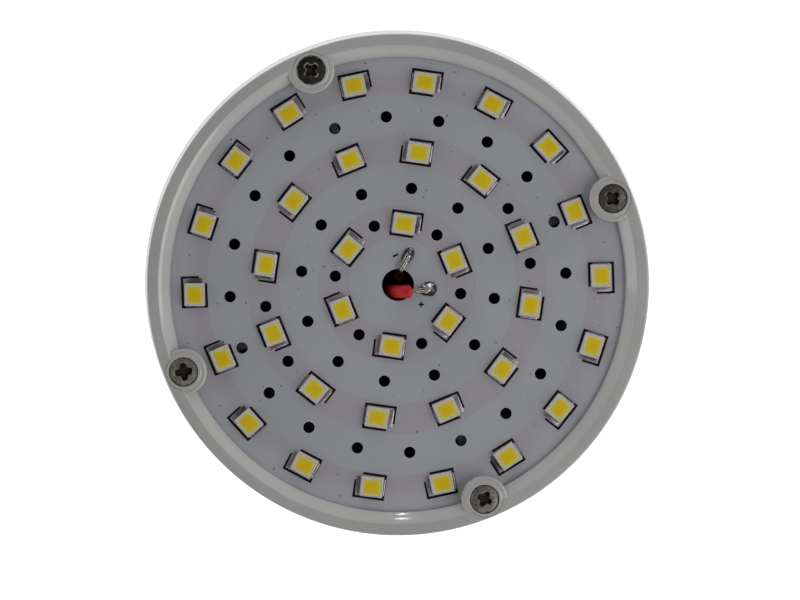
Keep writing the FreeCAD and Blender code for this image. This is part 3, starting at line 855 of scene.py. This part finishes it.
def cross(arm, width, level):
    """Outline of a cross with rounded arms and chamfered inner corners."""
    half = width / 2
    inner = half + 0.05
    end = 0.72 * half
    quarter = [(arm, -end), (arm + 0.06, 0), (arm, end)]
    quarter += [(inner + 0.14, half), (inner, inner), (half, inner + 0.14)]
    return [twist(90 * turn) @ Vector((x, y, level)) for turn in range(4) for x, y in quarter]


# The last argument sets how strongly the painted glint shows.
def screw_finish(name, steel, sharp):
    """Dark steel with rubbed high spots, a painted glint round the recess and painted shade down in it."""
    finish = Finish(name, steel, 0.42, 0.85)
    grain = finish.noise(0.3, 4.0, 0.65)
    rubbed = finish.step(finish.noise(1.1), 0.5, 0.75) * 0.5
    slope = finish.node("ShaderNodeNewGeometry", output="True Normal")
    upright = finish.node("ShaderNodeSeparateXYZ", inputs={0: slope}, output=2)
    # Painted glint: steep faces, such as the recess's walls, are painted bright in patches.
    painted_glint = (1 - finish.step(upright, 0.8, 0.92)) * finish.step(finish.noise(0.8, 2.0), 0.4, 0.6)
    # Painted shade: the steel is painted dark below the head's rounded top, in the recess and on its side.
    outside_painted_shade = finish.step(finish.place(2), HEAD_TOP - 0.5, HEAD_TOP + HEAD_EDGE)
    base = finish.mix(finish.step(grain, 0.35, 0.65), 0.4 * steel, steel)
    base = finish.mix(rubbed, base, 1.9 * steel)
    base = finish.mix(painted_glint * sharp, base, tint(214, 208, 200))
    base = finish.mix(outside_painted_shade, tint(66, 57, 50), base)
    return finish.coat(base, 0.34 + grain * 0.25, grain, 0.05, 0.7)


drives = zip(EAR_ANGLES, SCREW_TURNS, SCREW_SHADES, RECESS_SIZES, PAINTED_GLINTS)
for number, (angle, turn, shade, size, sharp) in enumerate(drives, 1):
    stock, tool = bmesh.new(), bmesh.new()
    lathe(stock, [
        (0, 0), (1.1, -0.02, 0.6), (HEAD_RADIUS, HEAD_EDGE, 0.16), (HEAD_RADIUS, HEAD_BACK, 0.05),
        (SHANK_RADIUS, HEAD_BACK), (SHANK_RADIUS, SCREW_END + 1.0), (0.1, SCREW_END),
        (0, SCREW_END),
    ], 72, HEAD_TOP, closed=False)
    loft(tool, [cross(size * arm, size * width, HEAD_TOP + level) for arm, width, level in RECESS])
    screw = blank("ring_screw_%d" % number, stock)
    carve(screw, blank("cross", tool), "DIFFERENCE")
    steel = screw_finish("screw_steel_%d" % number, tint(*shade), sharp)
    nodes = ["ring_screws"] if number == 1 else ()
    dress(screw, [steel], 30, nodes, spot(EAR_PITCH, angle, 0, turn))
print("screws:", number)

# %% [markdown]
# ## Leads and solder joints
#
# Two red leads come up from the driver through the wire hole. Each is a smooth curve with a round
# bevel, and ends in bare tinned strands that lie in a pool of solder on the plate. The pool is a
# lofted mound with a wrinkled skin, drawn out to a neck at the hole, as solder freezes when the iron
# is pulled away.

# %% Leads
BOARD_TOP = highest("driver_board")
STRAND_RADIUS = 0.11
STRAND_OFFSETS = ((-0.26, 0.0), (0.24, 0.02), (-0.05, 0.14), (0.04, -0.13))


def wire(name, points, radius, material, nodes=(), tip=1.0):
    """Smooth round wire along the points of a NURBS curve, in millimetres, with its tip narrowed."""
    curve = bpy.data.curves.new(name, "CURVE")
    curve.dimensions = "3D"
    curve.bevel_depth = radius * MM
    curve.bevel_resolution = 5
    curve.use_fill_caps = True
    spline = curve.splines.new("NURBS")
    spline.points.add(len(points) - 1)
    for point, place in zip(spline.points, points):
        point.co = (*(Vector(place) * MM), 1)
    spline.points[-1].radius = tip
    spline.order_u = 3
    spline.use_endpoint_u = True
    spline.resolution_u = 10
    curve.materials.append(material)
    tie(linked(name, curve), nodes)


def over_plate(*points):
    """Points given from the middle of the plate's top."""
    return [(x, y, z + PLATE_TOP) for x, y, z in points]


positive_run = [(-3.0, -1.9, BOARD_TOP - 3), (-3.2, -1.4, BOARD_TOP + 20)]
positive_run += over_plate((-3.9, 0.2, -24), (-3.0, 0.4, -10.0), (-1.9, -0.15, -5.4), (-1.0, -0.6, -1.7))
positive_run += over_plate((0.0, -1.0, 0.2), (1.0, -1.33, 0.5), (1.2, -1.4, 0.52), (1.42, -1.47, 0.52))
negative_run = [(3.0, -1.9, BOARD_TOP - 3), (2.4, -1.3, BOARD_TOP + 20)]
negative_run += over_plate((0.6, 0.1, -20), (0.4, 0.3, -10.0), (0.6, 1.0, -3.6))
wire("positive_sleeve", positive_run, 0.88, red_sleeve, ["positive_lead"], 0.5)
# Its sleeve is painted darker as painted shade.
wire("negative_sleeve", negative_run, 0.72, red_sleeve_painted_shade, ["negative_lead"])

strands = {
    "positive": [(0.7, -1.25, 0.5), (1.6, -1.5, 0.62), (2.3, -1.75, 0.5), (3.2, -2, 0.4), (4, -2.15, 0.3)],
    "negative": [(0.6, 0.95, -3.8), (0.75, 1.3, -0.6), (1.1, 1.85, 0.7), (1.9, 2.5, 0.5), (2.9, 3.3, 0.3)],
}
for name, route in strands.items():
    for strand, (aside, lift) in enumerate(STRAND_OFFSETS, 1):
        bent = [(x - aside * 0.5, y + aside, z + lift * 0.8) for x, y, z in over_plate(*route)]
        wire("%s_strand_%d" % (name, strand), bent, STRAND_RADIUS, tinned_wire)
print("strands:", len(strands) * len(STRAND_OFFSETS))

# %% Solder joints
POOL_ROWS = 14
POOL_STEPS = 13
POOLS = (
    (Vector((2.2, -1.8)), Vector((4.65, -2.24)), 2.0, 3),
    (Vector((1.4, 2.1)), Vector((3.6, 3.85)), 1.45, 5),
)


def solder_pool(bm, heel, tip, width, height, seed):
    """Drawn-out mound of solder on the plate from a heel near the hole to a round tip."""
    noise = random.Random(seed)
    along = tip - heel
    aside = Vector((-along.y, along.x)).normalized()
    outlines = []
    for row in range(POOL_ROWS + 1):
        share = row / POOL_ROWS
        swell = math.sin(math.pi * min(1.0, share ** 1.1 * 0.97 + 0.03)) ** 0.55
        half = width / 2 * swell * (0.84 + 0.22 * share)
        crest = height * swell * (0.55 + 0.6 * share) * noise.uniform(0.9, 1.08)
        outline = []
        for step in range(POOL_STEPS + 1):
            turn = math.pi * step / POOL_STEPS
            point = heel + along * share + aside * (math.cos(turn) * half * noise.uniform(0.93, 1.05))
            ridges = 0.8 + 0.2 * math.cos(6 * turn + 2.5 * share)
            lift = max(0.0, math.sin(turn)) ** 0.8 * crest * ridges * noise.uniform(0.88, 1.06)
            outline.append((point.x, point.y, PLATE_TOP + lift))
        outlines.append(outline)
    loft(bm, outlines)


pools, dark_patch = bmesh.new(), bmesh.new()
for heel, tip, width, seed in POOLS:
    solder_pool(pools, heel, tip, width, 0.73, seed)
    solder_pool(dark_patch, heel.lerp(tip, 0.15), heel.lerp(tip, 1.03), width + 0.12, 0.05, seed + 1)
piece("flux_stain", dark_patch, [flux], 70)
joints = piece("solder_pools", pools, [solder], 70, ["solder_joints"])
smoother = joints.modifiers.new("round", "SUBSURF")
smoother.levels = smoother.render_levels = 2
print("solder joints:", len(POOLS))

# %% [markdown]
# ## Cap
#
# A screw cap is one thin sheet rolled between two shaped wheels, so its thread is a soft wave that
# winds round the shell, and shows on the inside too. A grid of points follows the shell round and up:
# each point's radius has a wave in its height less its share of a turn, and the wave fades out at
# both ends, where the sheet runs plain.

# %% Screw shell with its rolled thread
SHELL_LOW = lowest("screw_shell")
SHELL_LENGTH = highest("screw_shell") - SHELL_LOW
CREST = highest("screw_shell", 0)
ROOT = 12.1
PITCH = 3.63
SHEET = 0.45
MOUTH = ((0.45, 9.4), (0.0, 9.4), (0.0, 10.6), (0.12, 11.4), (0.42, 12.0))
MOUTH_INSIDE = 11.3
WALL_LOW = 0.9
AROUND = 160
ROWS = 120


def ease(value, low, high):
    """Smooth rise from 0 to 1 as a value goes from low to high."""
    share = min(1.0, max(0.0, (value - low) / (high - low)))
    return share * share * (3 - 2 * share)


def thread_radius(height, angle):
    """Outer radius of the shell at a height above its lower end."""
    wave = 0.5 + 0.5 * math.cos(2 * math.pi * height / PITCH - math.radians(angle))
    fade = ease(height, 1.2, 3.8) * ease(SHELL_LENGTH - height, 1.6, 3.4)
    unrolled = ROOT + (CREST - 0.05 - ROOT) * (1 if height > SHELL_LENGTH / 2 else 0.35)
    return unrolled + (ROOT + (CREST - ROOT) * wave - unrolled) * fade


def shell_ring(height, radius=None, inwards=0.0):
    """Ring of points at a height, on a plain radius or else on the thread and so far inwards."""
    ring = []
    for step in range(AROUND):
        angle = 360 * step / AROUND
        reach = radius or thread_radius(height, angle) - inwards
        ring.append(shell.verts.new(polar(reach, angle, SHELL_LOW + height)))
    return ring


shell = bmesh.new()
heights = [WALL_LOW + (SHELL_LENGTH - WALL_LOW) * row / ROWS for row in range(ROWS + 1)]
rings = [shell_ring(*place) for place in MOUTH]
rings += [shell_ring(height) for height in heights]
rings += [shell_ring(height, inwards=SHEET) for height in heights[::-2]]
rings.append(shell_ring(0.55, MOUTH_INSIDE))
for low, high in zip(rings, rings[1:] + rings[:1]):
    bridge(shell, low, high)
piece("rolled_shell", shell, [shell_nickel], 50, ["screw_shell"])
print("rings of the shell:", len(rings))

# %% [markdown]
# Below the shell a black glass-like insulator carries the centre contact, a small tin-plated dome
# where the live lead is soldered. Both are lathe work.

# %% Insulator and contact
CONTACT_TOP = highest("centre_contact")
LEAD_BORE = 1.6
foot, dome = bmesh.new(), bmesh.new()
lathe(foot, [
    (LEAD_BORE, CONTACT_TOP), (5.9, CONTACT_TOP, 0.2), (6.2, CONTACT_TOP + 0.35, 0.3),
    (7.6, CONTACT_TOP + 1.6, 0.5), (9.4, CONTACT_TOP + 3.2, 0.8), (11.2, SHELL_LOW - 0.25, 0.25),
    (11.2, SHELL_LOW), (LEAD_BORE, SHELL_LOW),
])
lathe(dome, [
    (0, 0), (1.5, 0, 1.2), (4.0, 0.42, 1.0), (4.8, 0.85, 0.25), (4.8, CONTACT_TOP),
    (0, CONTACT_TOP),
], 72, closed=False)
piece("insulator", foot, [cap_black], 40, ["cap_insulator"])
piece("contact_dome", dome, [contact_tin], 50, ["centre_contact"])
print("contact top:", round(CONTACT_TOP, 2))

# %% [markdown]
# ## Strips
#
# The twelve strips are alike, so each is the same drawing, turned to its side. A strip is a bright
# aluminium board with white mask on its face, printed boxes and packages as on the plate, and a pair
# of solder pads at each end for the wires.

# %% Strip boards and their packages
SIDES = 12
STRIP_LEDS = 12
STRIP_PITCH = 7.0
STRIP_FINISHES = [strip_white, board_edge, pad_solder]
STRIP = "led_strip_01"
STRIP_FRONT = highest(STRIP, 0)
STRIP_WIDTH = 2 * highest(STRIP, 1)
STRIP_HEIGHT = highest(STRIP) - lowest(STRIP)
STRIP_MIDDLE = lowest(STRIP) + STRIP_HEIGHT / 2
STRIP_BACK = lowest(STRIP, 0) - STRIP_FRONT
MASK_BACK = -0.12
WIRE_PADS = ((3.0, 2.0, 0.6, 0.0), (2.8, 1.8, 0.5, 0.08))
WIRE_PAD_ASIDE = 3.2
WIRE_PAD_UP = STRIP_HEIGHT / 2 - 3.0


def strip_outline(inset, corner, level):
    """Outline of a strip that is narrower and shorter by an inset."""
    return soft_box(STRIP_WIDTH - inset, STRIP_HEIGHT - inset, corner, level)


def on_strip(side, level, sideways=0.0):
    """Place on the face of a strip: x across it, y up it and z out of it."""
    face = Matrix(((0, 0, 1, STRIP_FRONT), (1, 0, 0, sideways), (0, 1, 0, level), (0, 0, 0, 1)))
    return twist(360 / SIDES * side) @ face


leds_middle = (lowest("strip_leds_01") + highest("strip_leds_01")) / 2
led_levels = [leds_middle + (step - (STRIP_LEDS - 1) / 2) * STRIP_PITCH for step in range(STRIP_LEDS)]
metal_part = [strip_outline(0, 0.5, level) for level in (STRIP_BACK, MASK_BACK)]
mask_part = [strip_outline(0.1, 0.5, MASK_BACK), strip_outline(0.1, 0.5, -0.03), strip_outline(0.2, 0.45, 0)]
for side in range(SIDES):
    number = "_%02d" % (side + 1)
    boards, packages, ink = (bmesh.new() for part in range(3))
    loft(boards, metal_part, 1, on_strip(side, STRIP_MIDDLE))
    loft(boards, mask_part, 0, on_strip(side, STRIP_MIDDLE), floor=False)
    for up, aside in ((-1, -1), (-1, 1), (1, -1), (1, 1)):
        pad_place = on_strip(side, STRIP_MIDDLE + up * WIRE_PAD_UP, aside * WIRE_PAD_ASIDE)
        loft(boards, soft_boxes(WIRE_PADS), 2, pad_place)
    for level in led_levels:
        place = on_strip(side, level)
        printed_box(ink, place, (1, -1))
        led_package(packages, as_set(place, -SLIP / 2, 0.05, 1.5))
    piece("strip_board" + number, boards, STRIP_FINISHES, 30, ["led_strip" + number])
    piece("strip_packages" + number, packages, LED_FINISHES, 40, ["strip_leds" + number])
    piece("strip_print" + number, ink, [print_ink], 30)
print("strips:", SIDES, "with", STRIP_LEDS, "packages each")

# %% [markdown]
# ## Pieces that keep their CAD mesh
#
# The housing, the core, the frame and the driver parts already have their true shape. The Weld
# modifier joins the loose triangles of the file, and the Bevel modifier rounds each edge a little, as
# a mould or an extrusion die does.

# %% Finishes and soft edges for the CAD pieces
def soften(node, material, width=0.0):
    """Give a CAD node its finish, and round its sharp edges if a width is given."""
    obj = cad[node]
    obj.data.materials.clear()
    obj.data.materials.append(material)
    weld = obj.modifiers.new("weld", "WELD")
    weld.merge_threshold = 0.002 * MM
    if width:
        bevel = obj.modifiers.new("soft edges", "BEVEL")
        bevel.width = width * MM
        bevel.segments = 2
        bevel.limit_method = "ANGLE"
        bevel.angle_limit = math.radians(22)


soften("driver_housing", housing_white_painted_light_and_shade, 0.35)
soften("core_tube", core_aluminium, 0.15)
soften("top_frame", frame_white_painted_light)
soften("driver_board", laminate, 0.05)
soften("input_capacitor", can_sleeve, 0.5)
soften("transformer", coil_tape, 0.6)
soften("bridge_rectifier", chip_black, 0.25)
soften("driver_chip", chip_black, 0.15)
soften("film_capacitor", film_red, 0.8)
soften("fuse_resistor", resistor_green, 0.4)
soften("contact_lead", red_sleeve)
soften("shell_lead", red_sleeve_painted_shade)

# %% [markdown]
# ## Stage
#
# The picture is taken straight down on the lit end, from about forty centimetres with a long lens,
# and two degrees off the axis, so that a sliver of the far wall shows. The floor stays pale. A camera
# ray, or one that a metal or glass face sends on, meets a brighter floor, which keeps the ground
# white without more light on the bulb, and the bulb's shadow still shows on it.

# %% Camera
DISTANCE = 380.0
TILT = math.radians(2.0)
LEAN = 105.0
ROLL = 22.0
PIXELS_PER_MM = 7.52
PICTURE_WIDTH = 800
SENSOR_WIDTH = 36
AIM = (0.25, -1.95)

right = polar(1, -ROLL)
up = polar(1, 90 - ROLL)
view = polar(math.sin(TILT), LEAN - ROLL, math.cos(TILT))
target = right * AIM[0] + up * AIM[1] + Vector((0, 0, RING_TOP))
side_axis = up.cross(view).normalized()
facing = Matrix((side_axis, view.cross(side_axis), view)).transposed().to_4x4()
camera_data = bpy.data.cameras.new("camera")
camera_data.lens = PIXELS_PER_MM * DISTANCE * SENSOR_WIDTH / PICTURE_WIDTH
camera_data.clip_end = 20
camera = linked("camera", camera_data)
camera.matrix_world = Matrix.Translation((target + view * DISTANCE) * MM) @ facing
bpy.context.scene.camera = camera
print("lens:", round(camera_data.lens, 1))


# %% Floor
def pale_floor(reach):
    """Pale floor, in metres, that the camera and mirroring faces see as white."""
    corners = [(-reach, -reach, 0), (reach, -reach, 0), (reach, reach, 0), (-reach, reach, 0)]
    mesh = bpy.data.meshes.new("floor")
    mesh.from_pydata(corners, [], [(0, 1, 2, 3)])
    finish = Finish("floor", tint(226, 226, 226), 0.9)
    finish.set("Base Color", finish.mix(finish.noise(60.0), tint(224, 224, 224), tint(228, 228, 228)))
    camera_ray = finish.ray("Camera")
    seen = camera_ray.maths("MAXIMUM", camera_ray, finish.sent_on())
    glow = finish.node("ShaderNodeEmission", inputs={"Color": (1, 1, 1, 1), "Strength": 0.62})
    unlit = Reading(finish, finish.shader.outputs[0])
    both = finish.node("ShaderNodeAddShader", inputs={0: unlit, 1: glow})
    chosen = finish.node("ShaderNodeMixShader", inputs={0: seen, 1: unlit, 2: both})
    finish.feed(finish.tree.nodes["Material Output"].inputs["Surface"], chosen)
    mesh.materials.append(finish.material)
    floor = linked("floor", mesh)


pale_floor(4.0)


# %% World and lamps
class Sky(Finish):
    """The world's own nodes, written with the same signs as a finish."""

    def __init__(self, world):
        world.use_nodes = True
        self.tree = world.node_tree
        self.shader = self.tree.nodes["Background"]


def soft_world(strength, overhead):
    """Pale sky, white to the camera and to mirrors, and dimmer overhead, where the camera stands."""
    world = bpy.data.worlds.new("world")
    bpy.context.scene.world = world
    sky = Sky(world)
    sky.set("Color", (1, 1, 1, 1))
    bearing = sky.node("ShaderNodeTexCoord", output="Generated")
    height = sky.node("ShaderNodeSeparateXYZ", inputs={0: bearing}, output=2)
    shade = 1 - sky.step(height, 0.1, 1.0) * (1 - overhead)
    seen = sky.ray("Camera")
    level = shade * (strength + sky.sent_on() * (1 - strength))
    sky.set("Strength", seen + (1 - seen) * level)


def lamp(name, azimuth, elevation, distance, size, power, height=170.0, mirrored=True):
    """Square soft lamp, aimed at a height on the bulb's axis from bearings in the picture's frame."""
    data = bpy.data.lights.new(name, "AREA")
    data.size = size * MM
    data.energy = power
    obj = linked(name, data)
    climb = math.radians(elevation)
    away = polar(math.cos(climb), azimuth - ROLL, math.sin(climb))
    obj.location = (away * distance + Vector((0, 0, height))) * MM
    obj.rotation_euler = away.to_track_quat("Z", "Y").to_euler()
    obj.visible_glossy = mirrored


soft_world(1.45, 0.14)
lamp("key", -18, 40, 270, 240, 0.42)
lamp("left", 195, 15, 600, 300, 0.35)
lamp("upper_tube", 90.5, 12, 450, 15, 0.026)
lamp("lower_tube", 90.5, 3, 450, 15, 0.026)
lamp("fill", 100, 12, 700, 400, 0.9, 90.0, mirrored=False)
bpy.context.scene.view_settings.view_transform = "Standard"
print("lamps:", len(bpy.data.lights))
